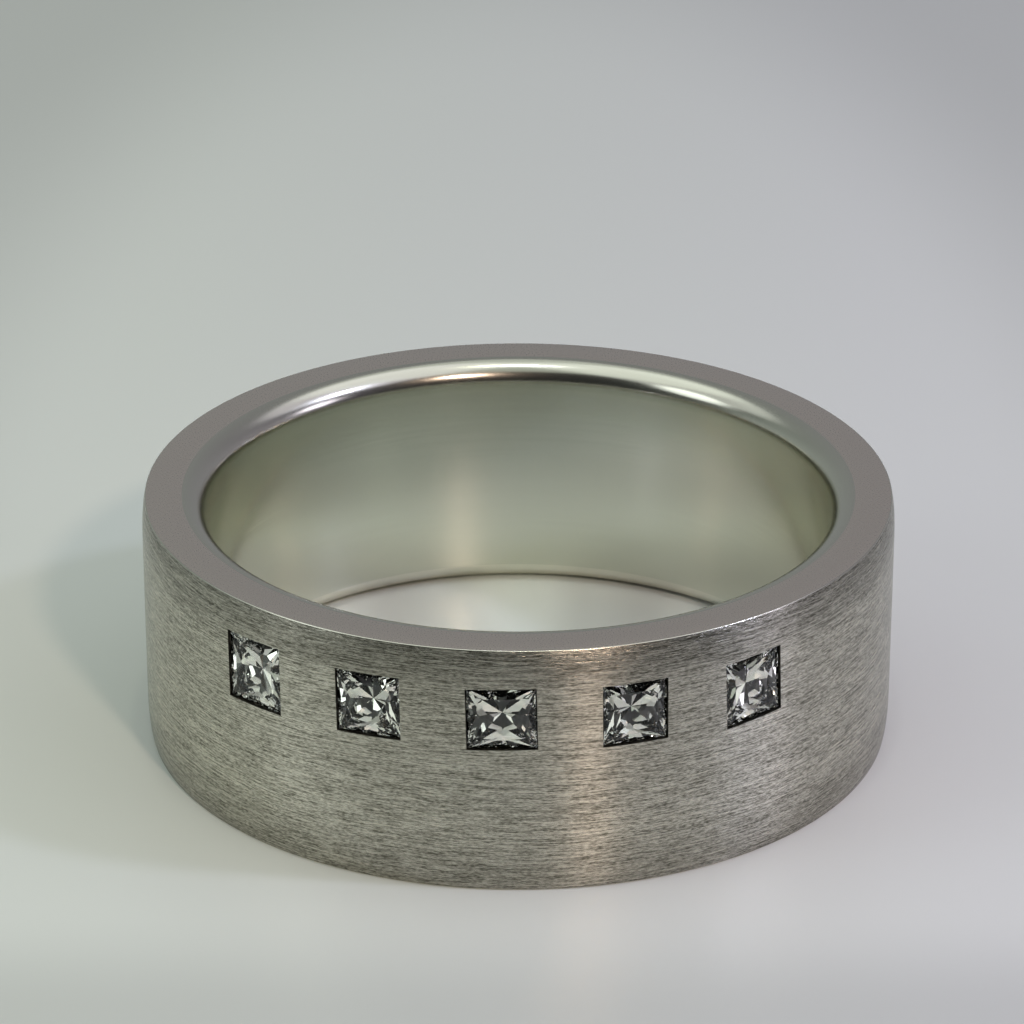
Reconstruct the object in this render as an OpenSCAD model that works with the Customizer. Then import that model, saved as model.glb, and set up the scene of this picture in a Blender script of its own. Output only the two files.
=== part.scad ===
// Flat band ring with five square stones set flush near its upper edge.
// The ring lies on its side: its finger axis is +Z, its lower side face is at z = 0,
// and the row of stones faces -Y. Lengths are in millimetres and angles in degrees.

/* [Band] */
// Diameter of the finger bore
bore_d = 19.6; // [15:0.1:22]
// Thickness of the wall, from the bore to the outer wall
wall = 2.1; // [2:0.05:2.6]
// Width of the band along the finger
band_w = 8; // [6:0.1:12]
// Radius of the soft rounding where the bore meets each side face
comfort_r = 0.7; // [0.3:0.05:1]
// Width of the small polished bevel at each outer edge
edge_bevel = 0.06; // [0.05:0.01:0.3]

/* [Row of stones] */
// Angle from one stone to the next
stone_pitch = 19.6; // [16:0.1:25]
// Angle from the ring's front to the middle stone, positive towards +X
row_turn = -2.6; // [-10:0.1:10]
// Distance from the upper side face down to the middle of the row
row_drop = 2.2; // [1.8:0.05:3.5]
// Gap between a stone and the metal of its seat
seat_gap = 0.03; // [0.02:0.01:0.1]
// How far the tables lie below the highest line of the outer wall
table_drop = 0.03; // [0.01:0.01:0.1]

/* [Cut of the stones] */
// Width of the table, as a share of the stone's width
table_share = 0.7; // [0.6:0.01:0.78]
// Height of the crown, as a share of the stone's mean width
crown_share = 0.05; // [0.03:0.01:0.12]
// Thickness of the girdle, as a share of the stone's mean width
girdle_share = 0.03; // [0.02:0.01:0.04]
// Depth of the pavilion, as a share of the stone's mean width
pavilion_share = 0.58; // [0.54:0.01:0.6]

/* [Hidden] */
$fn = 180;

outer_r = bore_d / 2 + wall;
bore_r = bore_d / 2;
table_r = outer_r - table_drop;

// The stones were set by hand, so each has its own small differences. A row for each
// stone, from the left: extra angle along the row, lift, width, height, turn.
STONES = [
    [-0.4,  0.00, 2.12, 2.15, 0.9],
    [ 0.0,  0.04, 2.01, 1.99, 1.3],
    [ 0.2, -0.03, 2.07, 1.94, 1.5],
    [ 0.1, -0.05, 1.97, 1.94, 0.7],
    [ 0.0, -0.11, 2.02, 2.09, 2.6],
];
COL_ANGLE = 0;
COL_LIFT = 1;
COL_WIDTH = 2;
COL_HEIGHT = 3;
COL_TURN = 4;
middle_index = (len(STONES) - 1) / 2;

// Crown: the share of a side that the table's edge keeps before its corner is cut, and
// the point where each side's facets meet, as shares of half the width and of the height.
TABLE_EDGE = 0.56;
CROWN_BREAK = [0.87, 0.43];

// Pavilion: the profile down the middle of a side, from the girdle to the culet. A row for
// each point where two chevron facets meet: share of half the width, share of the depth.
CHEVRONS = [
    [0.85, 0.22],
    [0.66, 0.46],
    [0.42, 0.685],
];

// Pit under a stone: the share of the seat's size that is left at its flat bottom, and
// how far below the culet that bottom lies.
PIT_TAPER = 0.62;
PIT_CLEAR = 0.08;

// How far the seat's cutter reaches out past the outer wall.
CUT_OUT = 1;

function mean_width(stone) = (stone[COL_WIDTH] + stone[COL_HEIGHT]) / 2;
function girdle_top(stone) = -crown_share * mean_width(stone);
function girdle_bottom(stone) = girdle_top(stone) - girdle_share * mean_width(stone);
function culet(stone) = girdle_bottom(stone) - pavilion_share * mean_width(stone);

// The four corners of a rectangle at the given shares of a stone's half width and height
function corners(stone, share_x, share_y, z) = [
    for (sx = [-1, 1], sy = [-1, 1])
        [sx * share_x * stone[COL_WIDTH] / 2, sy * share_y * stone[COL_HEIGHT] / 2, z]
];

// One point in the middle of each of the four sides, at a share of the half size
function side_middles(stone, share, z) = [
    for (side = [0:3])
        [cos(90 * side) * share * stone[COL_WIDTH] / 2,
         sin(90 * side) * share * stone[COL_HEIGHT] / 2,
         z]
];

// Every corner point of a princess-cut stone, table up, with the table at z = 0
function stone_points(stone) = concat(
    corners(stone, table_share, TABLE_EDGE, 0),
    corners(stone, TABLE_EDGE, table_share, 0),
    side_middles(stone, CROWN_BREAK[0], CROWN_BREAK[1] * girdle_top(stone)),
    corners(stone, 1, 1, girdle_top(stone)),
    corners(stone, 1, 1, girdle_bottom(stone)),
    [for (row = CHEVRONS)
        each side_middles(stone, row[0],
                          girdle_bottom(stone) * (1 - row[1]) + culet(stone) * row[1])],
    [[0, 0, culet(stone)]]
);

// Puts a child where a stone sits: table plane at z = 0 facing outwards, +Y up the band
module at_seat(index) {
    stone = STONES[index];
    rotate([0, 0, row_turn + (index - middle_index) * stone_pitch + stone[COL_ANGLE]])
        translate([0, -table_r, band_w - row_drop + stone[COL_LIFT]])
            rotate([90, 0, 0])
                rotate([0, 0, stone[COL_TURN]])
                    children();
}

// A cut stone has only flat facets and no hollow, so the hull of its corners is its form.
module princess_cut(stone) {
    points = stone_points(stone);
    hull()
        polyhedron(points = points, faces = [[for (i = [0:len(points) - 1]) i]]);
}

// What a seat takes out of the wall: a straight opening down to the girdle, then a pit
// that narrows under the pavilion
module seat_cutter(stone) {
    opening = [stone[COL_WIDTH] + 2 * seat_gap, stone[COL_HEIGHT] + 2 * seat_gap];
    ledge = girdle_bottom(stone);
    pit = ledge - culet(stone) + PIT_CLEAR;
    translate([-opening.x / 2, -opening.y / 2, ledge])
        cube([opening.x, opening.y, CUT_OUT - ledge]);
    translate([0, 0, ledge])
        mirror([0, 0, 1])
            linear_extrude(height = pit, scale = PIT_TAPER)
                square(opening, center = true);
}

// Half of the wall's cross-section, from its middle height down to the lower side face
module half_section() {
    difference() {
        translate([bore_r, 0])
            square([wall, band_w / 2]);
        difference() {
            translate([bore_r - comfort_r, -comfort_r])
                square(2 * comfort_r);
            translate([bore_r + comfort_r, comfort_r])
                circle(r = comfort_r);
        }
        polygon([
            [outer_r - edge_bevel, 0],
            [outer_r, edge_bevel],
            [outer_r + edge_bevel, -edge_bevel],
        ]);
    }
}

module band() {
    color("silver")
        difference() {
            rotate_extrude()
                union() {
                    half_section();
                    translate([0, band_w])
                        mirror([0, 1])
                            half_section();
                }
            for (index = [0:len(STONES) - 1])
                at_seat(index) seat_cutter(STONES[index]);
        }
}

module stone(index) {
    color("aliceblue")
        at_seat(index) princess_cut(STONES[index]);
}

band();
stone(0);  // stone_1
stone(1);  // stone_2
stone(2);  // stone_3
stone(3);  // stone_4
stone(4);  // stone_5
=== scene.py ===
# %% [markdown]
# A flat band ring in white gold, with five small square diamonds set flush near its upper
# edge. The ring lies on its side on a pale surface. The packed model gives every size and
# place. This notebook gives the ring its finish: a hand-brushed outer wall, satin side
# faces with smoother edges, a polished bore, and clear faceted diamonds. Then it lights the
# ring softly. The camera stands where the photograph was taken from.

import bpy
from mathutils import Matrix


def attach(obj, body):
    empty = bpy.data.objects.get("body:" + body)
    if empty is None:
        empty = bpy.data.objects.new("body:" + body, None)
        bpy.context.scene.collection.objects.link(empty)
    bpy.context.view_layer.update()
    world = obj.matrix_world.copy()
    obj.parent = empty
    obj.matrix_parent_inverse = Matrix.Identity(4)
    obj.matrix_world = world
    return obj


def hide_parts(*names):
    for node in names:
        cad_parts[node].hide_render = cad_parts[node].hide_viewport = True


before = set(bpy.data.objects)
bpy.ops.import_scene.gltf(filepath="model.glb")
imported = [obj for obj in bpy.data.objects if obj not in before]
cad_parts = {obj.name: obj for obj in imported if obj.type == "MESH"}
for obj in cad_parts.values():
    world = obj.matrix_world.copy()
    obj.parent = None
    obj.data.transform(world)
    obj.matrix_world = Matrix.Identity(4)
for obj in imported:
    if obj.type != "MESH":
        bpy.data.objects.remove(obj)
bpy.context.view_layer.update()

# %% [markdown]
# The rest of the notebook works with plain Python, with bmesh for meshes that are built
# point by point, and with mathutils for vectors. The ring is a few millimetres big and
# Blender counts in metres, so the length of a millimetre turns up everywhere and has a name.

# %% Imports and units
import math

import bmesh
import bpy
from mathutils import Matrix, Vector

MM = 0.001
print("one millimetre is", MM, "of Blender's metres")

# %% [markdown]
# A node tree is easier to read when each line adds one node together with its settings and
# its links. This one small function does that for every tree below, both for materials and
# for Geometry Nodes. An input may be given another node, which links that node's first output
# in use, or one named output of a node, or a plain value.

# %% Node helper
def add_node(tree, kind, inputs=None, **settings):
    """Adds a node of one kind, sets its properties, then fills or links its inputs."""
    node = tree.nodes.new(kind)
    for name, value in settings.items():
        setattr(node, name, value)
    for key, value in (inputs or {}).items():
        if isinstance(value, bpy.types.Node):
            value = next(output for output in value.outputs if output.enabled)
        if isinstance(value, bpy.types.NodeSocket):
            tree.links.new(value, node.inputs[key])
        else:
            node.inputs[key].default_value = value
    return node


print("node helper:", add_node.__doc__)

# %% [markdown]
# Colours are written as the hex values of a paint program, which follow the sRGB curve.
# Blender's shaders count light itself, so one function turns each value into linear light.

# %% Colours
SRGB_KNEE = 0.04045
SRGB_SLOPE = 12.92
SRGB_OFFSET = 0.055
SRGB_POWER = 2.4
HEX_PLACES = (1, 3, 5)


def linear(hex_colour):
    """An sRGB hex colour as the linear red, green, blue and alpha that Blender uses."""
    colour = []
    for place in HEX_PLACES:
        value = int(hex_colour[place : place + 2], 16) / 255
        if value <= SRGB_KNEE:
            colour.append(value / SRGB_SLOPE)
        else:
            colour.append(((value + SRGB_OFFSET) / (1 + SRGB_OFFSET)) ** SRGB_POWER)
    return (*colour, 1.0)


print("mid grey in linear light:", linear("#808080")[0])

# %% [markdown]
# The camera comes first, because it settles how large every detail shows. The photograph was
# taken from about 155 mm away and 27 degrees above the surface with a long lens, which keeps
# the ring's ellipse flat and regular. The aim is worked out from one fact that is easy to
# read off the photograph: the pixel at which the ring's axis meets the surface.

# %% Camera
PHOTO_SIZE = 1024
LENS_MM = 168.5
SENSOR_MM = 36.0
CAMERA_DISTANCE = 155 * MM
CAMERA_ELEVATION = math.radians(26.98)
AXIS_PIXEL = (518.4, 712.0)
NEAREST_SEEN = 1 * MM
FARTHEST_SEEN = 10.0


def make_camera():
    """The camera at the photograph's viewing angle, aimed so that the axis lands on its pixel."""
    back = Vector((0, -math.cos(CAMERA_ELEVATION), math.sin(CAMERA_ELEVATION)))
    right = Vector((1, 0, 0))
    up = right.cross(-back)
    focal_pixels = LENS_MM / SENSOR_MM * PHOTO_SIZE
    off_right = (AXIS_PIXEL[0] - PHOTO_SIZE / 2) / focal_pixels
    off_down = (AXIS_PIXEL[1] - PHOTO_SIZE / 2) / focal_pixels
    aim = -back + up * off_down - right * off_right
    data = bpy.data.cameras.new("camera")
    data.lens = LENS_MM
    data.sensor_width = SENSOR_MM
    data.clip_start = NEAREST_SEEN
    data.clip_end = FARTHEST_SEEN
    camera = bpy.data.objects.new("camera", data)
    camera.location = back * CAMERA_DISTANCE
    camera.rotation_euler = aim.to_track_quat("-Z", "Y").to_euler()
    bpy.context.scene.collection.objects.link(camera)
    bpy.context.scene.camera = camera
    return camera


camera = make_camera()
pixel = CAMERA_DISTANCE * SENSOR_MM / LENS_MM / PHOTO_SIZE
print("camera at", tuple(round(v / MM, 1) for v in camera.location), "mm")
print("one pixel at the ring:", round(pixel / MM, 3), "mm")

# %% [markdown]
# The frame's own meshes say how big the ring is. The band is a turned shape, so five numbers
# describe its cross-section: the bore, the outside, the width, the soft rounding inside and
# the tiny bevel outside. Reading them here keeps the finished band on the packed one.

# %% Measure the band
# Two heights or lengths in millimetres that differ by less than this count as the same.
SAME_LENGTH = 0.001


def to_mm(point):
    """A point of the frame in millimetres."""
    return point / MM


def band_measures():
    """The band's cross-section in millimetres, read from the packed mesh."""
    points = [to_mm(v.co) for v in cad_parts["band"].data.vertices]
    radii = [math.hypot(p.x, p.y) for p in points]
    top = max(p.z for p in points)
    on_top = [r for r, p in zip(radii, points) if top - p.z < SAME_LENGTH]
    return {
        "bore": round(min(radii), 3),
        "outer": round(max(radii), 3),
        "width": round(top, 3),
        "rounding": round(min(on_top) - min(radii), 2),
        "bevel": round(max(radii) - max(on_top), 2),
    }


BAND = band_measures()
print("band:", BAND)

# %% [markdown]
# Each diamond tells where its seat is. Its lowest point, the culet, lies on the seat's axis,
# which points straight out from the ring's axis. The four girdle corners are the points
# farthest from that axis, and two of them give the stone's width, height and small turn.

# %% Measure the seats
STONES = ["stone_1", "stone_2", "stone_3", "stone_4", "stone_5"]
# A point this much nearer the seat's axis than a girdle corner still counts as a corner.
CORNER_REACH = 0.01


def seat_measures(name):
    """Where a stone sits and how big it is, in millimetres and radians."""
    points = [to_mm(v.co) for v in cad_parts[name].data.vertices]
    culet = min(points, key=lambda p: math.hypot(p.x, p.y))
    azimuth = math.atan2(culet.x, -culet.y)
    outward = Vector((math.sin(azimuth), -math.cos(azimuth), 0))
    along = Vector((math.cos(azimuth), math.sin(azimuth), 0))
    local = [Vector((p.dot(along), p.z - culet.z, p.dot(outward))) for p in points]
    upper = max((p for p in local if p.x > 0 and p.y > 0), key=lambda p: p.xy.length)
    lower = max((p for p in local if p.x > 0 and p.y < 0), key=lambda p: p.xy.length)
    girdle = [p.z for p in local if p.xy.length > upper.xy.length - CORNER_REACH]
    return {
        "azimuth": azimuth,
        "lift": culet.z,
        "turn": math.atan2(upper.y + lower.y, upper.x + lower.x),
        "wide": (upper.xy + lower.xy).length,
        "tall": (upper.xy - lower.xy).length,
        "table": max(p.z for p in local),
        "girdle": min(girdle),
        "culet": min(p.z for p in local),
    }


SEATS = [seat_measures(name) for name in STONES]
for name, seat in zip(STONES, SEATS):
    print(name, {key: round(value, 3) for key, value in seat.items()})

# %% [markdown]
# Every finish below starts from an empty material, and its marks come from noise with a
# real length and width. Images could give marks too, but noise has no seam and no limit in
# detail. It reads Object coordinates in three dimensions, so it stays on the piece.

# %% Marks of a finish
# Nearly all values of a noise lie between these two.
NOISE_LOW = 0.3
NOISE_HIGH = 0.7


def start_material(name):
    """A new material and its tree, still empty."""
    material = bpy.data.materials.new(name)
    material.use_nodes = True
    material.node_tree.nodes.clear()
    return material, material.node_tree


def stretched_noise(tree, place, length, width, detail=3.0, roughness=0.6):
    """Noise whose marks are length long around the ring and width tall along its axis."""
    squeezed = add_node(
        tree,
        "ShaderNodeMapping",
        {"Vector": place, "Scale": (1 / length, 1 / length, 1 / width)},
    )
    return add_node(
        tree,
        "ShaderNodeTexNoise",
        {"Vector": squeezed, "Scale": 1.0, "Detail": detail, "Roughness": roughness},
        noise_dimensions="3D",
    )


print("noise is taken between", NOISE_LOW, "and", NOISE_HIGH)

# %% [markdown]
# Surfaces are rarely one flat colour. Where one colour goes over into another, a value such
# as a noise says how far it has gone. Where a surface is slowly paler or darker from place
# to place, rows of a place and a share say how much, and a colour ramp eases from one row
# to the next, so no line shows.

# %% Changes of colour
def blended(tree, value, low, high, first, second):
    """A colour that goes from the first to the second as a value goes from low to high."""
    share = add_node(
        tree, "ShaderNodeMapRange", {"Value": value, "From Min": low, "From Max": high}
    )
    return add_node(
        tree,
        "ShaderNodeMix",
        {"Factor": share, "A": linear(first), "B": linear(second)},
        data_type="RGBA",
    )


def shaded(tree, colour, value, rows):
    """A colour whose brightness follows a value through rows of place and share."""
    first, last = rows[0][0], rows[-1][0]
    spread = add_node(
        tree, "ShaderNodeMapRange", {"Value": value, "From Min": first, "From Max": last}
    )
    ramp = add_node(tree, "ShaderNodeValToRGB", {"Fac": spread})
    ramp.color_ramp.interpolation = "EASE"
    while len(ramp.color_ramp.elements) < len(rows):
        ramp.color_ramp.elements.new(0.5)
    for element, (place, share) in zip(ramp.color_ramp.elements, rows):
        element.position = (place - first) / (last - first)
        element.color = (share, share, share, 1.0)
    return add_node(
        tree,
        "ShaderNodeMix",
        {"Factor": 1.0, "A": colour, "B": ramp},
        data_type="RGBA",
        blend_type="MULTIPLY",
    )


print("colour helpers:", blended.__name__, "and", shaded.__name__)

# %% [markdown]
# White gold is an alloy that is pale grey with a little warmth. It is a metal, so nearly all
# of its look is reflection: the shader is bare metal with the default index, and its colour
# is its reflection. What changes from one face to the next is how the surface was worked.
# Rubbing all one way spreads light across the scratches and hardly along them. The radial
# tangent about Z runs round the ring, and a quarter turn lays the spread across the scratches.

# %% White gold
QUARTER_TURN = 0.25


def finish_gold(tree, colour, marks, depth, roughness, spread=0.0):
    """Ends a tree with white gold, dented by marks, that may spread its light one way."""
    bump = add_node(tree, "ShaderNodeBump", {"Height": marks, "Strength": 1.0, "Distance": depth})
    surface = {"Base Color": colour, "Metallic": 1.0, "Roughness": roughness, "Normal": bump}
    if spread:
        tangent = add_node(tree, "ShaderNodeTangent", direction_type="RADIAL", axis="Z")
        surface["Tangent"] = tangent
        surface["Anisotropic"] = spread
        surface["Anisotropic Rotation"] = QUARTER_TURN
    metal = add_node(tree, "ShaderNodeBsdfPrincipled", surface)
    add_node(tree, "ShaderNodeOutputMaterial", {"Surface": metal})


print("white gold:", finish_gold.__doc__)

# %% [markdown]
# The outer wall was rubbed along the band with an abrasive pad, which leaves short scratches
# that all lie the same way, so a lamp shows on it as a tall soft stripe. Noise that is
# squeezed hard along the ring's axis, and much less across it, turns into fine lines that run
# round the wall. Three such noises add up: short grain, single strokes and long sweeps. A
# slower one pushes the lines up and down a little, because a hand never rubs quite straight.
# Real scratches of such a pad are about a hundredth of a millimetre wide, a third of a pixel
# here, so they are drawn about four times as coarse.

# %% Marks of the abrasive pad
GRAIN_LENGTH = 0.14 * MM
GRAIN_WIDTH = 0.036 * MM
STROKE_LENGTH = 0.60 * MM
STROKE_WIDTH = 0.042 * MM
SWEEP_LENGTH = 1.6 * MM
SWEEP_WIDTH = 0.06 * MM
WANDER_LENGTH = 6.0 * MM
WANDER_HEIGHT = 0.16 * MM


def wandering_place(tree, place):
    """Object coordinates whose height wanders slowly, as a hand-held pad does."""
    wander = stretched_noise(tree, place, WANDER_LENGTH, WANDER_LENGTH, 2.0, 0.5)
    shift = add_node(
        tree,
        "ShaderNodeMapRange",
        {"Value": wander, "To Min": -WANDER_HEIGHT, "To Max": WANDER_HEIGHT},
    )
    offset = add_node(tree, "ShaderNodeCombineXYZ", {"Z": shift})
    return add_node(tree, "ShaderNodeVectorMath", {0: place, 1: offset}, operation="ADD")


def pad_marks(tree, place):
    """The sum of the three kinds of scratches, and the long sweeps alone."""
    rubbed = wandering_place(tree, place)
    grain = stretched_noise(tree, rubbed, GRAIN_LENGTH, GRAIN_WIDTH, 1.0, 0.5)
    strokes = stretched_noise(tree, rubbed, STROKE_LENGTH, STROKE_WIDTH, 2.0)
    sweeps = stretched_noise(tree, rubbed, SWEEP_LENGTH, SWEEP_WIDTH)
    long_marks = add_node(tree, "ShaderNodeMath", {0: strokes, 1: sweeps}, operation="ADD")
    marks = add_node(tree, "ShaderNodeMath", {0: long_marks, 1: grain}, operation="ADD")
    return marks, sweeps


print("a scratch is", round(GRAIN_WIDTH / pixel, 1), "pixels wide")

# %% [markdown]
# The same marks that dent the wall also darken it a little, since a scratch shades itself.
# Towards the two edges the wall is darkened with painted shade, and its scratches are
# deeper at the upper edge, where the pad bit harder.

# %% Brushed white gold
BRUSHED_PALE = "#E9E5D7"
BRUSHED_DARK = "#747266"
BRUSHED_LEAST = 0.235
BRUSHED_MOST = 0.285
BRUSHED_SPREAD = 1.0
# The sum of the marks at which the wall is darkest and at which it is palest.
DARK_MARKS = 1.18
PALE_MARKS = 1.78
STROKE_DEPTH = 0.005 * MM
EDGE_DEPTH = 0.016 * MM
EDGE_START = 6.6 * MM
# How pale the brushed wall is under painted shade from its lower to its upper edge:
# height in metres, share.
PAINTED_EDGE_SHADE = [
    (0.0, 0.66),
    (0.6 * MM, 0.76),
    (2.0 * MM, 1.0),
    (6.2 * MM, 1.0),
    (7.4 * MM, 0.74),
    (8.0 * MM, 0.74),
]


def brushed_white_gold():
    """White gold rubbed along the band with an abrasive pad."""
    material, tree = start_material("brushed_white_gold")
    place = add_node(tree, "ShaderNodeTexCoord").outputs["Object"]
    height = add_node(tree, "ShaderNodeSeparateXYZ", {0: place}).outputs["Z"]
    marks, sweeps = pad_marks(tree, place)
    depth = add_node(
        tree,
        "ShaderNodeMapRange",
        {
            "Value": height,
            "From Min": EDGE_START,
            "From Max": BAND["width"] * MM,
            "To Min": STROKE_DEPTH,
            "To Max": EDGE_DEPTH,
        },
    )
    colour = blended(tree, marks, DARK_MARKS, PALE_MARKS, BRUSHED_DARK, BRUSHED_PALE)
    roughness = add_node(
        tree,
        "ShaderNodeMapRange",
        {
            "Value": sweeps,
            "From Min": NOISE_LOW,
            "From Max": NOISE_HIGH,
            "To Min": BRUSHED_LEAST,
            "To Max": BRUSHED_MOST,
        },
    )
    # Painted shade darkens the wall towards its lower and upper edges.
    shoulder_wear_and_edge_shade = shaded(tree, colour, height, PAINTED_EDGE_SHADE)
    finish_gold(tree, shoulder_wear_and_edge_shade, marks, depth, roughness, BRUSHED_SPREAD)
    return material


brushed = brushed_white_gold()
print("material:", brushed.name, "with", len(brushed.node_tree.nodes), "nodes")

# %% [markdown]
# The two side faces were drawn over fine abrasive paper on a flat plate and then wiped with
# a polishing cloth. That gives an even satin without direction, with a few faint dark specks.
# The bore's rounded mouths and the outer edges catch more of the cloth, so the same finish is
# made a second time, less rough and more neutral in colour. The paper's grain is too fine to
# show, so its noise is drawn a pixel or two wide, just enough to break up the reflection.

# %% Satin and eased white gold
SATIN_GOLD = "#E8DCD3"
SATIN_LEAST = 0.26
SATIN_MOST = 0.32
EASED_GOLD = "#DEDCD0"
EASED_LEAST = 0.18
EASED_MOST = 0.23
SATIN_GRAIN = 0.05 * MM
SATIN_DEPTH = 0.0008 * MM
SPECK_SIZE = 0.16 * MM
SPECK_GOLD = "#B3AFA7"
# Noise below the first value is all speck, and above the second it is all clean metal.
SPECK_LOW = 0.12
SPECK_HIGH = 0.2


def satin_white_gold(name, gold, least, most):
    """White gold drawn over fine paper and wiped with a cloth, between two roughnesses."""
    material, tree = start_material(name)
    place = add_node(tree, "ShaderNodeTexCoord").outputs["Object"]
    grain = stretched_noise(tree, place, SATIN_GRAIN, SATIN_GRAIN)
    specks = stretched_noise(tree, place, SPECK_SIZE, SPECK_SIZE, 1.0, 0.5)
    colour = blended(tree, specks, SPECK_LOW, SPECK_HIGH, SPECK_GOLD, gold)
    roughness = add_node(
        tree,
        "ShaderNodeMapRange",
        {
            "Value": grain,
            "From Min": NOISE_LOW,
            "From Max": NOISE_HIGH,
            "To Min": least,
            "To Max": most,
        },
    )
    finish_gold(tree, colour, grain, SATIN_DEPTH, roughness)
    return material


satin = satin_white_gold("satin_white_gold", SATIN_GOLD, SATIN_LEAST, SATIN_MOST)
eased = satin_white_gold("eased_white_gold", EASED_GOLD, EASED_LEAST, EASED_MOST)
print("materials:", satin.name, "and", eased.name)

# %% [markdown]
# The bore alone was polished, on a felt buff that ran round the ring. It mirrors the board
# and itself, softened across the fine lines that the buff leaves. Like the brushed wall it
# spreads light one way, but only in part, and its lines are long and shallow. Real ones are
# too fine to show, so they are drawn about a tenth of a millimetre wide.

# %% Polished white gold
POLISHED_GOLD = "#D0D1C4"
POLISHED_LEAST = 0.19
POLISHED_MOST = 0.23
POLISHED_SPREAD = 0.6
BUFF_LENGTH = 6.0 * MM
BUFF_WIDTH = 0.12 * MM
BUFF_DEPTH = 0.0002 * MM


def polished_white_gold():
    """White gold polished on a felt buff that ran round the ring."""
    material, tree = start_material("polished_white_gold")
    place = add_node(tree, "ShaderNodeTexCoord").outputs["Object"]
    buffing = stretched_noise(tree, place, BUFF_LENGTH, BUFF_WIDTH)
    roughness = add_node(
        tree,
        "ShaderNodeMapRange",
        {
            "Value": buffing,
            "From Min": NOISE_LOW,
            "From Max": NOISE_HIGH,
            "To Min": POLISHED_LEAST,
            "To Max": POLISHED_MOST,
        },
    )
    finish_gold(tree, linear(POLISHED_GOLD), buffing, BUFF_DEPTH, roughness, POLISHED_SPREAD)
    return material


polished = polished_white_gold()
print("material:", polished.name)

# %% [markdown]
# The seats are as the graver left them, and its cuts are dull. Little light gets out of
# them, so they show as a thin dark outline round each stone, and that shade is painted into
# the finish: a dark, rough metal with uneven marks, and no more than that, because only a
# sliver of it is ever seen.

# %% Cut white gold with painted shade
# Two dark colours of painted shade: little light comes out of a seat.
SEAT_SHADE_DARK = "#2E2C28"
SEAT_SHADE_PALE = "#4E4B45"
SEAT_ROUGHNESS = 0.5
CUT_MARK = 0.06 * MM
CUT_DEPTH = 0.002 * MM


def cut_gold_painted_shade():
    """White gold as the graver left it in a seat, darkened by painted shade."""
    material, tree = start_material("cut_gold_painted_shade")
    place = add_node(tree, "ShaderNodeTexCoord").outputs["Object"]
    marks = stretched_noise(tree, place, CUT_MARK, CUT_MARK)
    # Painted shade: a mix of the two dark colours.
    colour = add_node(
        tree,
        "ShaderNodeMix",
        {"Factor": marks, "A": linear(SEAT_SHADE_DARK), "B": linear(SEAT_SHADE_PALE)},
        data_type="RGBA",
    )
    finish_gold(tree, colour, marks, CUT_DEPTH, SEAT_ROUGHNESS)
    return material


cut = cut_gold_painted_shade()
print("material:", cut.name)

# %% [markdown]
# Diamond has a high index of 2.42. Light that goes in through the table is turned back by the
# pavilion facets, so a cut diamond shows hard bright and dark patches that come from its
# facets and from the lamps, and almost no colour of its own. All of that follows from a clear
# shader with the right index and flat facets. Specular Tint holds back the room's reflection
# in the table, which would lie over the facets like a veil, and leaves the light inside alone.
# A trace of warm colour and a faint cloud of others stand in for the stone's own tint and for
# the fire, the split colours that a real stone throws.

# %% Diamond
DIAMOND_IOR = 2.417
DIAMOND_TINT = "#FBFCF2"
TABLE_MIRROR = "#8A8A8A"
FIRE_SIZE = 0.22 * MM
FIRE_SHARE = 0.06


def diamond():
    """A clear cut diamond."""
    material, tree = start_material("diamond")
    place = add_node(tree, "ShaderNodeTexCoord").outputs["Object"]
    cells = add_node(
        tree, "ShaderNodeTexVoronoi", {"Vector": place, "Scale": 1 / FIRE_SIZE}, feature="F1"
    )
    tint = add_node(
        tree,
        "ShaderNodeMix",
        {"Factor": FIRE_SHARE, "A": linear(DIAMOND_TINT), "B": cells.outputs["Color"]},
        data_type="RGBA",
    )
    gem = add_node(
        tree,
        "ShaderNodeBsdfPrincipled",
        {
            "Base Color": tint,
            "Roughness": 0.0,
            "IOR": DIAMOND_IOR,
            "Specular Tint": linear(TABLE_MIRROR),
            "Transmission Weight": 1.0,
        },
    )
    add_node(tree, "ShaderNodeOutputMaterial", {"Surface": gem})
    return material


clear_diamond = diamond()
for name in STONES:
    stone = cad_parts[name]
    stone.data.materials.clear()
    stone.data.materials.append(clear_diamond)
print("diamond on", STONES)

# %% [markdown]
# A stone is set flush by cutting a straight-sided hole for it, with a pit below for its
# pointed back, and then rubbing the hole's edge down over the stone. One cutting tool stands
# for all five seats: a square bar that flares by a hair's breadth where it leaves the wall.
# The wall is round and the flare follows it, so the hole's edge is broken evenly all round.
# The tool is a stack of square outlines joined by faces, which bmesh builds point by point.

# %% Outline of a seat
SEAT_GAP = 0.03
SIDE_STEPS = 8


def mean_of(key):
    """The mean of one measure over the five seats."""
    return sum(seat[key] for seat in SEATS) / len(SEATS)


TABLE = mean_of("table")
OPENING = Vector((mean_of("wide") + 2 * SEAT_GAP, mean_of("tall") + 2 * SEAT_GAP))


def seat_outline(offset, share=1.0):
    """Points round a rectangle that is offset outwards from the seat's opening."""
    half = OPENING * share / 2 + Vector((offset, offset))
    steps = [i / SIDE_STEPS * 2 - 1 for i in range(SIDE_STEPS)]
    sides = [
        [Vector((s * half.x, -half.y)) for s in steps],
        [Vector((half.x, s * half.y)) for s in steps],
        [Vector((-s * half.x, half.y)) for s in steps],
        [Vector((-half.x, -s * half.y)) for s in steps],
    ]
    return [point for side in sides for point in side]


def wall_height(point):
    """How high the outer wall lies above the stone's table at a point of the seat."""
    return math.sqrt(BAND["outer"] ** 2 - point.x**2) - TABLE


print("opening of a seat:", tuple(OPENING), "mm, with", len(seat_outline(0)), "points")

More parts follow.
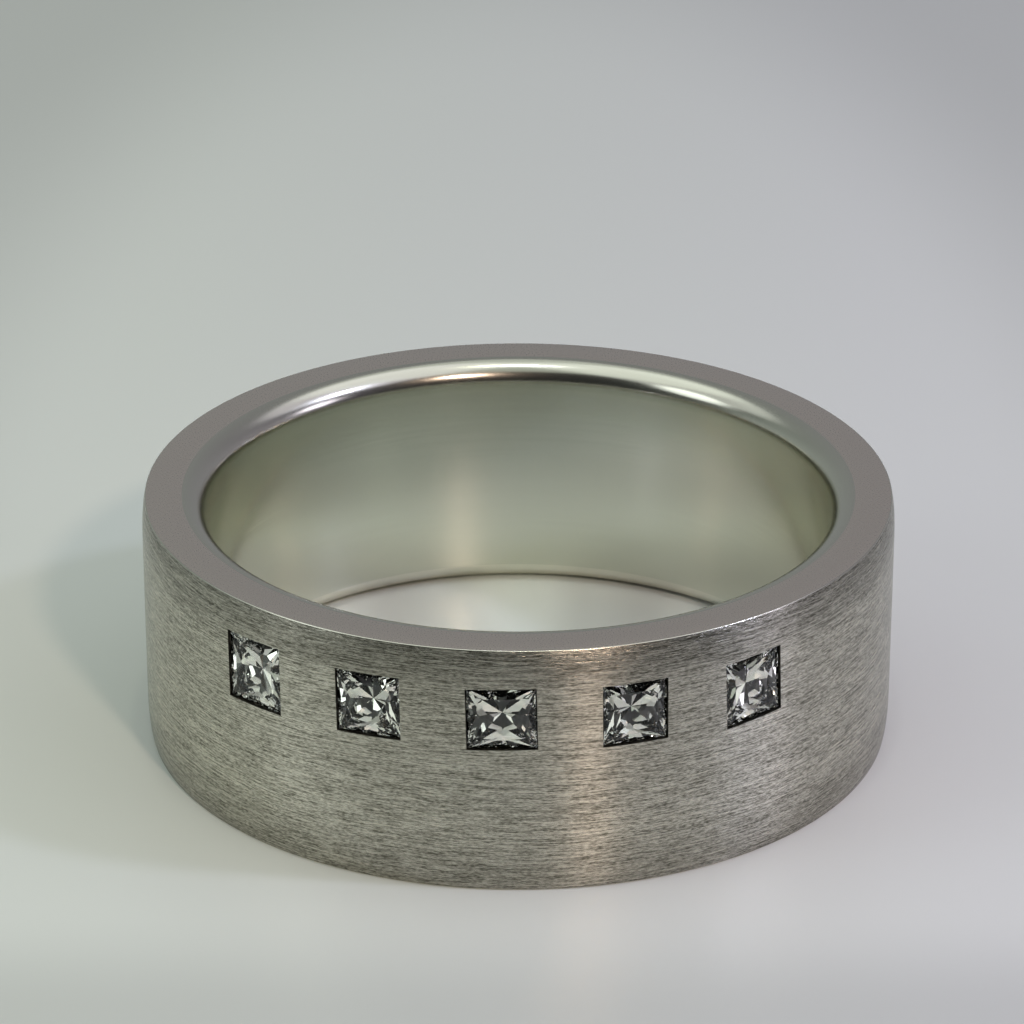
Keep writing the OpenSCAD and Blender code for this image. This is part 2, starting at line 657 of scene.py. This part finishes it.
# %% [markdown]
# From the top down the outlines are: one well outside the wall, one just above it, the edge
# of the hole, the ledge at the stone's girdle, and the narrower bottom of the pit.

# %% Seat cutter
LIP = 0.003
LIP_OVER = 0.05
CUT_OUT = 1.0
PIT_CLEAR = 0.08
PIT_TAPER = 0.62


def make_seat_cutter():
    """The tool that cuts one seat, in millimetres, with the stone's table at zero height."""
    ledge = mean_of("girdle") - TABLE
    pit = mean_of("culet") - TABLE - PIT_CLEAR
    rings = [
        [(*p, CUT_OUT) for p in seat_outline(LIP + LIP_OVER)],
        [(*p, wall_height(p) + LIP_OVER) for p in seat_outline(LIP + LIP_OVER)],
        [(*p, wall_height(p) - LIP) for p in seat_outline(0)],
        [(*p, ledge) for p in seat_outline(0)],
        [(*p, pit) for p in seat_outline(0, PIT_TAPER)],
    ]
    shape = bmesh.new()
    loops = [[shape.verts.new(p) for p in ring] for ring in rings]
    for above, below in zip(loops, loops[1:]):
        for i in range(len(above)):
            j = (i + 1) % len(above)
            shape.faces.new((above[i], above[j], below[j], below[i]))
    shape.faces.new(loops[0])
    shape.faces.new(loops[-1])
    bmesh.ops.recalc_face_normals(shape, faces=shape.faces)
    mesh = bpy.data.meshes.new("seat_cutter")
    shape.to_mesh(mesh)
    shape.free()
    mesh.materials.append(cut)
    return bpy.data.objects.new("seat_cutter", mesh)


seat_cutter = make_seat_cutter()
print("seat cutter:", len(seat_cutter.data.polygons), "faces")

# %% [markdown]
# The band follows a rule, so Geometry Nodes make it. A rectangle is the wall's cross-section,
# and sweeping it round a circle turns the band as a lathe would. The seats repeat, so the
# cutter is instanced on five points that carry their own turn and size, and one exact boolean
# takes them all out. The points come in as the modifier's own mesh: one loose vertex for each
# seat, with its rotation and scale as attributes.

# %% Seat points
def make_seat_points():
    """A mesh of five points on the seats' axes, each with its rotation and its scale."""
    mesh = bpy.data.meshes.new("seat_points")
    out = [Vector((math.sin(s["azimuth"]), -math.cos(s["azimuth"]), 0)) for s in SEATS]
    places = [o * s["table"] + Vector((0, 0, s["lift"])) for o, s in zip(out, SEATS)]
    mesh.from_pydata(places, [], [])
    rotation = mesh.attributes.new("seat_rotation", "FLOAT_VECTOR", "POINT")
    scale = mesh.attributes.new("seat_scale", "FLOAT_VECTOR", "POINT")
    for i, seat in enumerate(SEATS):
        face_out = Matrix.Rotation(seat["azimuth"], 4, "Z") @ Matrix.Rotation(math.pi / 2, 4, "X")
        turned = face_out @ Matrix.Rotation(seat["turn"], 4, "Z")
        rotation.data[i].vector = turned.to_euler()
        wide = (seat["wide"] + 2 * SEAT_GAP) / OPENING.x
        tall = (seat["tall"] + 2 * SEAT_GAP) / OPENING.y
        deep = (seat["culet"] - seat["table"]) / (mean_of("culet") - TABLE)
        scale.data[i].vector = (wide, tall, deep)
    return bpy.data.objects.new("band_finished", mesh)


band = make_seat_points()
bpy.context.scene.collection.objects.link(band)
print("seat points:", len(band.data.vertices))

# %% [markdown]
# The tree has a named input for each size, so the same tree could turn another ring. The
# sizes are in millimetres, since the smallest steps are a few thousandths of one, and the
# finished band is scaled down to metres at the end.

# %% Tree and its inputs
BAND_INPUTS = {
    "NodeSocketGeometry": ["Seat Points"],
    "NodeSocketObject": ["Seat Cutter"],
    "NodeSocketFloat": [
        "Bore Radius",
        "Outer Radius",
        "Band Width",
        "Rounding Radius",
        "Edge Radius",
        "Bore Ease",
        "Shoulder Width",
        "Shoulder Drop",
    ],
    "NodeSocketInt": ["Side Steps", "Rounding Steps", "Edge Steps", "Steps Around"],
    "NodeSocketMaterial": ["Brushed", "Satin", "Eased", "Polished"],
}

turning = bpy.data.node_groups.new("turned_and_cut_band", "GeometryNodeTree")
for kind, names in BAND_INPUTS.items():
    for name in names:
        turning.interface.new_socket(name=name, in_out="INPUT", socket_type=kind)
turning.interface.new_socket(name="Band", in_out="OUTPUT", socket_type="NodeSocketGeometry")
given = add_node(turning, "NodeGroupInput").outputs
half_width = add_node(
    turning, "ShaderNodeMath", {0: given["Band Width"], 1: 0.5}, operation="MULTIPLY"
)
print("inputs of the tree:", sum(BAND_INPUTS.values(), []))

# %% [markdown]
# Fillet Curve rounds the rectangle's corners. It takes its radius and its number of points as
# fields, so one node rounds the two inner corners widely, where the bore meets the side faces,
# and the two outer ones narrowly. The section is centred on the middle of the wall, so a point
# with a negative X lies on the bore's side.

# %% Rounded section
def rounded_section(tree, wall):
    """The wall's cross-section as a rectangle with its corners filleted."""
    square = add_node(
        tree,
        "GeometryNodeCurvePrimitiveQuadrilateral",
        {"Width": wall, "Height": given["Band Width"]},
        mode="RECTANGLE",
    )
    place = add_node(tree, "GeometryNodeInputPosition")
    across = add_node(tree, "ShaderNodeSeparateXYZ", {0: place}).outputs["X"]
    inner = add_node(tree, "FunctionNodeCompare", {0: across, 1: 0.0}, operation="LESS_THAN")
    count = add_node(
        tree,
        "GeometryNodeSwitch",
        {"Switch": inner, "False": given["Edge Steps"], "True": given["Rounding Steps"]},
        input_type="INT",
    )
    radius = add_node(
        tree,
        "GeometryNodeSwitch",
        {"Switch": inner, "False": given["Edge Radius"], "True": given["Rounding Radius"]},
        input_type="FLOAT",
    )
    return add_node(
        tree,
        "GeometryNodeFilletCurve",
        {"Curve": square, "Count": count, "Radius": radius},
        mode="POLY",
    )


wall = add_node(
    turning,
    "ShaderNodeMath",
    {0: given["Outer Radius"], 1: given["Bore Radius"]},
    operation="SUBTRACT",
)
rounded = rounded_section(turning, wall)
print("rounded section:", len(turning.nodes), "nodes so far")

# %% [markdown]
# The long sides of the section aren't quite straight on a real ring. A comfort-fit bore opens
# a little towards its mouths, and rubbing wears the outer wall down near its edges. A curve
# can only bend where it has points, so the two long sides are cut into many short ones. The
# test for a long side looks at the point that each side starts from: it lies on the face and,
# going round the section, comes before the side.

# %% Points on the long sides
def long_side_cuts(tree, wall):
    """How many points each side of the section gets: many on the two long sides only."""
    place = add_node(tree, "GeometryNodeInputPosition")
    part = add_node(tree, "ShaderNodeSeparateXYZ", {0: place}).outputs
    half = add_node(tree, "ShaderNodeMath", {0: wall, 1: 0.5}, operation="MULTIPLY")
    edge = add_node(tree, "ShaderNodeMath", {0: half, 1: SAME_LENGTH}, operation="SUBTRACT")
    away = add_node(tree, "ShaderNodeMath", {0: part["X"]}, operation="ABSOLUTE")
    on_face = add_node(tree, "FunctionNodeCompare", {0: away, 1: edge}, operation="GREATER_THAN")
    corner = add_node(tree, "ShaderNodeMath", {0: part["X"], 1: part["Y"]}, operation="MULTIPLY")
    starts = add_node(tree, "FunctionNodeCompare", {0: corner, 1: 0.0}, operation="LESS_THAN")
    both = add_node(tree, "FunctionNodeBooleanMath", {0: on_face, 1: starts}, operation="AND")
    return add_node(
        tree,
        "GeometryNodeSwitch",
        {"Switch": both, "False": 0, "True": given["Side Steps"]},
        input_type="INT",
    )


finer = add_node(
    turning,
    "GeometryNodeSubdivideCurve",
    {"Curve": rounded, "Cuts": long_side_cuts(turning, wall)},
)
print("section with side points:", len(turning.nodes), "nodes so far")

# %% [markdown]
# Then the points move. On the bore's side the shift grows with the square of the height, all
# the way from the middle. On the outer side it starts late, a shoulder's width from the edge,
# and grows with the fourth power, so the wall stays flat and only its edges fall away.

# %% Eased sides
SHOULDER_POWER = 4.0


def bore_ease(tree, height):
    """How far the bore's side opens at a height above the section's middle."""
    share = add_node(tree, "ShaderNodeMath", {0: height, 1: half_width}, operation="DIVIDE")
    square = add_node(tree, "ShaderNodeMath", {0: share, 1: share}, operation="MULTIPLY")
    return add_node(
        tree, "ShaderNodeMath", {0: square, 1: given["Bore Ease"]}, operation="MULTIPLY"
    )


def shoulder_fall(tree, height):
    """How far the outer side falls in at a height, as a negative number."""
    width, drop = given["Shoulder Width"], given["Shoulder Drop"]
    flat = add_node(tree, "ShaderNodeMath", {0: half_width, 1: width}, operation="SUBTRACT")
    over = add_node(tree, "ShaderNodeMath", {0: height, 1: flat}, operation="SUBTRACT")
    past = add_node(tree, "ShaderNodeMath", {0: over, 1: 0.0}, operation="MAXIMUM")
    lean = add_node(tree, "ShaderNodeMath", {0: past, 1: width}, operation="DIVIDE")
    bend = add_node(tree, "ShaderNodeMath", {0: lean, 1: SHOULDER_POWER}, operation="POWER")
    fall = add_node(tree, "ShaderNodeMath", {0: bend, 1: drop}, operation="MULTIPLY")
    return add_node(tree, "ShaderNodeMath", {0: fall, 1: -1.0}, operation="MULTIPLY")


def eased_section(tree, curve):
    """The section with its bore opened and its shoulders let down."""
    place = add_node(tree, "GeometryNodeInputPosition")
    part = add_node(tree, "ShaderNodeSeparateXYZ", {0: place}).outputs
    height = add_node(tree, "ShaderNodeMath", {0: part["Y"]}, operation="ABSOLUTE")
    inner = add_node(tree, "FunctionNodeCompare", {0: part["X"], 1: 0.0}, operation="LESS_THAN")
    shift = add_node(
        tree,
        "GeometryNodeSwitch",
        {"Switch": inner, "False": shoulder_fall(tree, height), "True": bore_ease(tree, height)},
        input_type="FLOAT",
    )
    offset = add_node(tree, "ShaderNodeCombineXYZ", {"X": shift})
    return add_node(tree, "GeometryNodeSetPosition", {"Geometry": curve, "Offset": offset})


section = eased_section(turning, finer)
print("eased section:", len(turning.nodes), "nodes so far")

# %% [markdown]
# Curve to Mesh carries the section round a circle through the middle of the wall, which is
# what a lathe does to a bar. Half its width upwards, the band stands on its lower side face.
# It starts out polished all over, and the other finishes come after the cut.

# %% Turned band
def turned_band(tree, section):
    """The section swept round a circle, with its lower side face at zero height."""
    radii = {0: given["Outer Radius"], 1: given["Bore Radius"]}
    both = add_node(tree, "ShaderNodeMath", radii, operation="ADD")
    middle = add_node(tree, "ShaderNodeMath", {0: both, 1: 0.5}, operation="MULTIPLY")
    circle = add_node(
        tree,
        "GeometryNodeCurvePrimitiveCircle",
        {"Resolution": given["Steps Around"], "Radius": middle},
        mode="RADIUS",
    )
    swept = add_node(
        tree, "GeometryNodeCurveToMesh", {"Curve": circle, "Profile Curve": section}
    )
    lift = add_node(tree, "ShaderNodeCombineXYZ", {"Z": half_width})
    standing = add_node(
        tree, "GeometryNodeTransform", {"Geometry": swept, "Translation": lift}
    )
    return add_node(
        tree, "GeometryNodeSetMaterial", {"Geometry": standing, "Material": given["Polished"]}
    )


turned = turned_band(turning, section)
print("turned band:", len(turning.nodes), "nodes so far")

# %% [markdown]
# The cutter is put on each seat point as an instance, turned and sized by that point's own
# attributes. Realize Instances turns the five into real geometry, and the boolean takes them
# out of the wall. The exact solver is the slower one, but it keeps thin edges clean.

# %% Cut the seats
def seats_to_cut(tree):
    """The cutter on every seat point, turned and sized as the point says."""
    rotation = add_node(
        tree, "GeometryNodeInputNamedAttribute", {"Name": "seat_rotation"}, data_type="FLOAT_VECTOR"
    )
    scale = add_node(
        tree, "GeometryNodeInputNamedAttribute", {"Name": "seat_scale"}, data_type="FLOAT_VECTOR"
    )
    turn = add_node(tree, "FunctionNodeEulerToRotation", {"Euler": rotation})
    tool = add_node(tree, "GeometryNodeObjectInfo", {"Object": given["Seat Cutter"]})
    placed = add_node(
        tree,
        "GeometryNodeInstanceOnPoints",
        {
            "Points": given["Seat Points"],
            "Instance": tool.outputs["Geometry"],
            "Rotation": turn,
            "Scale": scale,
        },
    )
    return add_node(tree, "GeometryNodeRealizeInstances", {"Geometry": placed})


cut_band = add_node(
    turning,
    "GeometryNodeMeshBoolean",
    {"Mesh 1": turned, "Mesh 2": seats_to_cut(turning)},
    operation="DIFFERENCE",
    solver="EXACT",
)
print("cut band:", len(turning.nodes), "nodes so far")

# %% [markdown]
# Now the band is scaled to metres. It is shaded smooth, apart from the edges that turn by
# more than 30 degrees, such as those of the seats, which stay crisp.

# %% Scale and shading
SHARP_ANGLE = math.radians(30)


def shaded_band(tree, band):
    """The band in metres, smooth on its round faces and crisp at its sharp edges."""
    small = add_node(tree, "GeometryNodeTransform", {"Geometry": band, "Scale": (MM, MM, MM)})
    smooth = add_node(tree, "GeometryNodeSetShadeSmooth", {"Geometry": small}, domain="FACE")
    angle = add_node(tree, "GeometryNodeInputMeshEdgeAngle").outputs["Unsigned Angle"]
    sharp = add_node(
        tree, "FunctionNodeCompare", {0: angle, 1: SHARP_ANGLE}, operation="GREATER_THAN"
    )
    crisp = add_node(
        tree,
        "GeometryNodeSetShadeSmooth",
        {"Geometry": smooth, "Selection": sharp, "Shade Smooth": False},
        domain="EDGE",
    )
    return add_node(tree, "GeometryNodeRealizeInstances", {"Geometry": crisp})


whole = shaded_band(turning, cut_band)
print("shaded band:", len(turning.nodes), "nodes so far")

# %% [markdown]
# Three tests tell a face's finish by where it lies and how it is turned. The roundings and
# outer edges lie near a side face and are tilted: they are eased. The side faces are level and
# lie at the very top or bottom: they are satin. The outer wall faces outwards at its full
# radius: it is brushed. All else stays as it is, the bore polished and the seats cut.

# %% Measures of a face
def face_measures(tree):
    """How far a face looks outwards and upwards, its radius, and its depth from a side face."""
    place = add_node(tree, "GeometryNodeInputPosition")
    large = add_node(tree, "ShaderNodeVectorMath", {0: place, "Scale": 1 / MM}, operation="SCALE")
    flat = add_node(tree, "ShaderNodeVectorMath", {0: large, 1: (1, 1, 0)}, operation="MULTIPLY")
    radius = add_node(tree, "ShaderNodeVectorMath", {0: flat}, operation="LENGTH")
    normal = add_node(tree, "GeometryNodeInputNormal").outputs["True Normal"]
    along = add_node(tree, "ShaderNodeVectorMath", {0: normal, 1: flat}, operation="DOT_PRODUCT")
    outward = add_node(tree, "ShaderNodeMath", {0: along, 1: radius}, operation="DIVIDE")
    upward = add_node(tree, "ShaderNodeSeparateXYZ", {0: normal}).outputs["Z"]
    steep = add_node(tree, "ShaderNodeMath", {0: upward}, operation="ABSOLUTE")
    height = add_node(tree, "ShaderNodeSeparateXYZ", {0: large}).outputs["Z"]
    off = add_node(tree, "ShaderNodeMath", {0: height, 1: half_width}, operation="SUBTRACT")
    from_middle = add_node(tree, "ShaderNodeMath", {0: off}, operation="ABSOLUTE")
    inset = add_node(
        tree, "ShaderNodeMath", {0: half_width, 1: from_middle}, operation="SUBTRACT"
    )
    return outward, steep, radius, inset


outward, steep, radius, inset = face_measures(turning)
print("face measures:", len(turning.nodes), "nodes so far")

# %% [markdown]
# Each test is a pair of comparisons that both have to hold. The finishes are set in the order
# of the rows, so the satin of a level face goes over the eased finish that it also passes for.

# %% Finishes by face
EASED_TILT = 0.12
LEVEL_TILT = 0.999
OUTWARD_SHARE = 0.95
# How much nearer the axis than the worn shoulder a face may lie and still be the outer wall.
WALL_REACH = 0.02


def finish_tests(tree):
    """For each finish, the two comparisons that a face of it passes: operation, a, b."""
    reach = {0: given["Outer Radius"], 1: given["Shoulder Drop"]}
    shoulder_wear_and_edge_shade = add_node(tree, "ShaderNodeMath", reach, operation="SUBTRACT")
    least = add_node(tree, "ShaderNodeMath", {0: shoulder_wear_and_edge_shade, 1: WALL_REACH}, operation="SUBTRACT")
    return {
        "Eased": [
            ("GREATER_THAN", steep, EASED_TILT),
            ("LESS_THAN", inset, given["Rounding Radius"]),
        ],
        "Satin": [("GREATER_THAN", steep, LEVEL_TILT), ("LESS_THAN", inset, SAME_LENGTH)],
        "Brushed": [("GREATER_THAN", outward, OUTWARD_SHARE), ("GREATER_THAN", radius, least)],
    }


for name, rows in finish_tests(turning).items():
    passed = [
        add_node(turning, "FunctionNodeCompare", {0: a, 1: b}, operation=operation)
        for operation, a, b in rows
    ]
    test = add_node(
        turning, "FunctionNodeBooleanMath", {0: passed[0], 1: passed[1]}, operation="AND"
    )
    whole = add_node(
        turning,
        "GeometryNodeSetMaterial",
        {"Geometry": whole, "Selection": test, "Material": given[name]},
    )
add_node(turning, "NodeGroupOutput", {"Band": whole})
print("whole tree:", len(turning.nodes), "nodes")

# %% [markdown]
# A modifier's inputs are set by each socket's own identifier, before Blender works the
# object out for the first time. The radii and the width come from the packed band. The outer
# edges are rounded by half the packed bevel, because the worn shoulder takes the other half.

# %% Sizes of the band
BORE_EASE = 0.13
SHOULDER_WIDTH = 1.9
SHOULDER_DROP = 0.11
STEPS_AROUND = 480
SIDE_CUTS = 31
ROUNDING_STEPS = 14
EDGE_STEPS = 3
EDGE_SHARE = 0.5


def set_inputs(modifier, values):
    """Sets a Geometry Nodes modifier's inputs by the names that its tree gives them."""
    for item in modifier.node_group.interface.items_tree:
        if item.in_out == "INPUT" and item.name in values:
            modifier[item.identifier] = values[item.name]


turn = band.modifiers.new("turn_and_cut", "NODES")
turn.node_group = turning
set_inputs(
    turn,
    {
        "Seat Cutter": seat_cutter,
        "Bore Radius": BAND["bore"],
        "Outer Radius": BAND["outer"],
        "Band Width": BAND["width"],
        "Rounding Radius": BAND["rounding"],
        "Edge Radius": BAND["bevel"] * EDGE_SHARE,
        "Bore Ease": BORE_EASE,
        "Shoulder Width": SHOULDER_WIDTH,
        "Shoulder Drop": SHOULDER_DROP,
        "Side Steps": SIDE_CUTS,
        "Rounding Steps": ROUNDING_STEPS,
        "Edge Steps": EDGE_STEPS,
        "Steps Around": STEPS_AROUND,
        "Brushed": brushed,
        "Satin": satin,
        "Eased": eased,
        "Polished": polished,
    },
)
print("bore opens by", BORE_EASE, "mm and the shoulders fall by", SHOULDER_DROP, "mm")

# %% [markdown]
# Weighted normals come next: they let the large flat faces decide how the light falls, so
# that the small roundings beside them don't shade them. Then the result is turned into a plain
# mesh, and only that is kept, so nothing in the finished piece depends on a live modifier.

# %% Turn and cut the band
FLAT_FACE_WEIGHT = 100


def baked(piece, name):
    """Turns a piece with modifiers into a plain mesh and takes the modifiers off."""
    graph = bpy.context.evaluated_depsgraph_get()
    mesh = bpy.data.meshes.new_from_object(piece.evaluated_get(graph))
    mesh.name = name
    piece.modifiers.clear()
    old = piece.data
    piece.data = mesh
    bpy.data.meshes.remove(old)
    return piece


weigh = band.modifiers.new("weighted_normals", "WEIGHTED_NORMAL")
weigh.weight = FLAT_FACE_WEIGHT
weigh.keep_sharp = True
baked(band, "band_finished")
bpy.data.objects.remove(seat_cutter)
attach(band, "root")
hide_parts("band")
print("band:", len(band.data.polygons), "faces,", [m.name for m in band.data.materials])

# %% [markdown]
# The ring lies on a smooth pale board. It is matt enough to look even, with just enough
# gloss for a faint reflection where the ring touches it. Real light falls off over such a
# board, and the ring's own reflections brighten the part inside it. Two rows of shares paint
# those slow changes, from front to back and from the ring outwards. The colour of the light
# is painted on too: a faint green tint fades to violet from left to right, and the painted
# pool of light inside the ring is more green still.

# %% Pale board
# The board's pale colour with a painted tint of the light: green on the left, violet on the right.
BOARD_LEFT_LIGHT_TINT = "#E2E8E1"
BOARD_RIGHT_LIGHT_TINT = "#E2E3E7"
BOARD_ROUGHNESS = 0.32
BOARD_IOR = 1.45
TINT_REACH = 14 * MM
# How bright the board is from the viewer's side to the far side: place in metres, share.
BOARD_SHADES = [
    (-90 * MM, 0.60),
    (-60 * MM, 0.76),
    (-34 * MM, 0.84),
    (-19 * MM, 0.88),
    (-13 * MM, 1.08),
    (4 * MM, 1.02),
    (16 * MM, 1.02),
    (70 * MM, 0.95),
    (120 * MM, 0.82),
]
# How bright it is from a point inside the ring outwards. A step to the front or back counts
# a third of a step to the side.
POOL_STRETCH = 3
POOL_CENTRE = 9 * MM
# The painted tint of the light in the pool inside the ring.
POOL_LIGHT_HUE = "#F8FFFC"
POOL_REACH = 4.3 * MM
POOL_SHADES = [
    (0.0, 1.20),
    (0.8 * MM, 1.17),
    (2.4 * MM, 0.92),
    (4.3 * MM, 0.78),
    (6.4 * MM, 1.0),
    (17 * MM, 1.0),
    (28 * MM, 0.80),
    (60 * MM, 0.72),
]


def pool_reach(tree, place):
    """How far a place is from the middle of the light pool inside the ring."""
    past = add_node(
        tree,
        "ShaderNodeMapping",
        {
            "Vector": place,
            "Location": (0, -POOL_CENTRE / POOL_STRETCH, 0),
            "Scale": (1, 1 / POOL_STRETCH, 0),
        },
    )
    return add_node(tree, "ShaderNodeVectorMath", {0: past}, operation="LENGTH")


def pale_board():
    """A smooth pale board with a soft gloss, with painted light, shade and tint of light."""
    material, tree = start_material("pale_board")
    place = add_node(tree, "ShaderNodeTexCoord").outputs["Object"]
    side = add_node(tree, "ShaderNodeSeparateXYZ", {0: place}).outputs
    # Painted tint of the light, from green on the left to violet on the right.
    tint = blended(tree, side["X"], -TINT_REACH, TINT_REACH, BOARD_LEFT_LIGHT_TINT, BOARD_RIGHT_LIGHT_TINT)
    reach = pool_reach(tree, place)
    inside = add_node(
        tree,
        "ShaderNodeMapRange",
        {"Value": reach, "From Max": POOL_REACH, "To Min": 1.0, "To Max": 0.0},
    )
    # Painted tint of the light, more green in the pool inside the ring.
    pool_light_tinted = add_node(
        tree,
        "ShaderNodeMix",
        {"Factor": inside, "A": tint, "B": linear(POOL_LIGHT_HUE)},
        data_type="RGBA",
        blend_type="MULTIPLY",
    )
    along = shaded(tree, pool_light_tinted, side["Y"], BOARD_SHADES)
    surface = add_node(
        tree,
        "ShaderNodeBsdfPrincipled",
        {
            "Base Color": shaded(tree, along, reach, POOL_SHADES),
            "Roughness": BOARD_ROUGHNESS,
            "IOR": BOARD_IOR,
        },
    )
    add_node(tree, "ShaderNodeOutputMaterial", {"Surface": surface})
    return material


board = pale_board()
print("material:", board.name, "with", len(board.node_tree.nodes), "nodes")

# %% [markdown]
# The board is one flat round face, three metres across, so that no edge of it shows from any
# side. It lies a few thousandths of a millimetre below the ring, so the two never share a
# plane.

# %% Floor
FLOOR_RADIUS = 1.5
FLOOR_SIDES = 128
FLOOR_DROP = 0.004 * MM


def make_floor():
    """A large round board just under the ring."""
    shape = bmesh.new()
    bmesh.ops.create_circle(shape, cap_ends=True, radius=FLOOR_RADIUS, segments=FLOOR_SIDES)
    mesh = bpy.data.meshes.new("floor")
    shape.to_mesh(mesh)
    shape.free()
    mesh.transform(Matrix.Translation((0, 0, -FLOOR_DROP)))
    mesh.materials.append(board)
    floor = bpy.data.objects.new("floor", mesh)
    bpy.context.scene.collection.objects.link(floor)
    return floor


floor = make_floor()
print("floor:", FLOOR_RADIUS * 2, "metres across")

# %% [markdown]
# A mirror-like thing is lit by what stands round it. One big soft panel overhead and a soft
# box on each side light the board evenly and keep the shadows soft. A few smaller lamps give
# the points of light: on the rim at the back, along the upper edge, down the outer wall and in
# the stones. Their directions follow from where those points show on the ring: a lamp shows
# on the round wall half as far round as it stands itself.

# %% Lamps
LAMPS = {
    # name: azimuth and elevation in degrees, distance and size in metres, colour, watts
    "top_panel": (0, 89, 0.50, 0.800, "#F6FFF3", 0.62),
    "top_lamp_right": (35, 84, 0.50, 0.014, "#FCFFE0", 0.065),
    "top_lamp_left": (-25, 84, 0.50, 0.014, "#F4F8FF", 0.065),
    "soft_box_right": (90, 60, 0.50, 0.580, "#F8F6FF", 0.40),
    "soft_box_left": (-90, 60, 0.50, 0.580, "#F6FBF8", 0.40),
    "cool_lamp": (80, 42, 0.50, 0.050, "#DDE1FF", 0.39),
    "side_lamp": (80, 18, 0.50, 0.130, "#F1EBFF", 0.12),
    "warm_lamp": (23, 37, 0.50, 0.040, "#FFE3CF", 0.50),
    "left_lamp": (-72, 32, 0.50, 0.220, "#F3FAF8", 0.19),
}
AIM = Vector((0, 0, BAND["width"] / 2 * MM))


def add_lamp(name, azimuth, elevation, distance, size, colour, power):
    """A round lamp seen from the ring at an azimuth (0 is the camera's side) and elevation."""
    azimuth, elevation = math.radians(azimuth), math.radians(elevation)
    flat = math.cos(elevation)
    towards = Vector((math.sin(azimuth) * flat, -math.cos(azimuth) * flat, math.sin(elevation)))
    data = bpy.data.lights.new(name, "AREA")
    data.shape = "DISK"
    data.size = size
    data.color = linear(colour)[:3]
    data.energy = power
    lamp = bpy.data.objects.new(name, data)
    lamp.location = AIM + towards * distance
    lamp.rotation_euler = (-towards).to_track_quat("-Z", "Y").to_euler()
    bpy.context.scene.collection.objects.link(lamp)
    return lamp


for name, settings in LAMPS.items():
    add_lamp(name, *settings)
print("lamps:", list(LAMPS))

# %% [markdown]
# The room is dim, and its light changes slowly with direction. It is darkest in front, where
# the photographer stands, paler behind the ring, faintly green to the left and faintly violet
# to the right. The metal picks those shades up, which is where its own quiet colour changes
# come from. In a world's tree, Generated gives the direction that is looked in.

# %% Room
ROOM_LEFT = "#F2FFF9"
ROOM_RIGHT = "#E2DEEC"
# How far to the left or right a direction points where the room has its full side tint.
ROOM_SIDE = 0.9
# A direction that points up less than the first value sees the low rows alone, and one that
# points up more than the second sees the high rows alone.
ROOM_LOW_END = 0.15
ROOM_HIGH_START = 0.5
# How bright the room is from the viewer's side (-1) to the far side (1), low and high up.
ROOM_LOW = [(-1.0, 0.02), (-0.75, 0.03), (-0.3, 0.09), (0.1, 0.32), (0.7, 0.32), (1.0, 0.29)]
ROOM_HIGH = [(-1.0, 0.02), (-0.5, 0.03), (0.0, 0.06), (0.35, 0.22), (1.0, 0.28)]


def room_light(tree):
    """The room's colour in each direction."""
    towards = add_node(tree, "ShaderNodeTexCoord").outputs["Generated"]
    part = add_node(tree, "ShaderNodeSeparateXYZ", {0: towards}).outputs
    tint = blended(tree, part["X"], -ROOM_SIDE, ROOM_SIDE, ROOM_LEFT, ROOM_RIGHT)
    upness = add_node(
        tree,
        "ShaderNodeMapRange",
        {"Value": part["Z"], "From Min": ROOM_LOW_END, "From Max": ROOM_HIGH_START},
    )
    return add_node(
        tree,
        "ShaderNodeMix",
        {
            "Factor": upness,
            "A": shaded(tree, tint, part["Y"], ROOM_LOW),
            "B": shaded(tree, tint, part["Y"], ROOM_HIGH),
        },
        data_type="RGBA",
    )


def make_room():
    """A world whose brightness and tint change slowly with direction."""
    world = bpy.data.worlds.new("room")
    world.use_nodes = True
    tree = world.node_tree
    tree.nodes.clear()
    light = add_node(tree, "ShaderNodeBackground", {"Color": room_light(tree), "Strength": 1.0})
    add_node(tree, "ShaderNodeOutputWorld", {"Surface": light})
    bpy.context.scene.world = world
    return world


room = make_room()
print("room:", room.name, "with", len(room.node_tree.nodes), "nodes")

# %% [markdown]
# Light bounces many times inside a diamond before it comes out, so the render needs more
# bounces than usual. Blurring very sharp reflections of reflections a little takes away stray
# bright dots. The plain view transform keeps the greys as they are measured.

# %% Light paths and view
LIGHT_BOUNCES = 24
METAL_BOUNCES = 12
STRAY_BLUR = 0.3


def set_view():
    """Enough bounces for the stones, and colours shown as they are."""
    scene = bpy.context.scene
    scene.cycles.max_bounces = LIGHT_BOUNCES
    scene.cycles.transmission_bounces = LIGHT_BOUNCES
    scene.cycles.glossy_bounces = METAL_BOUNCES
    scene.cycles.blur_glossy = STRAY_BLUR
    scene.view_settings.view_transform = "Standard"


set_view()
print("bounces:", LIGHT_BOUNCES, "in a stone and", METAL_BOUNCES, "between metal faces")

# %% [markdown]
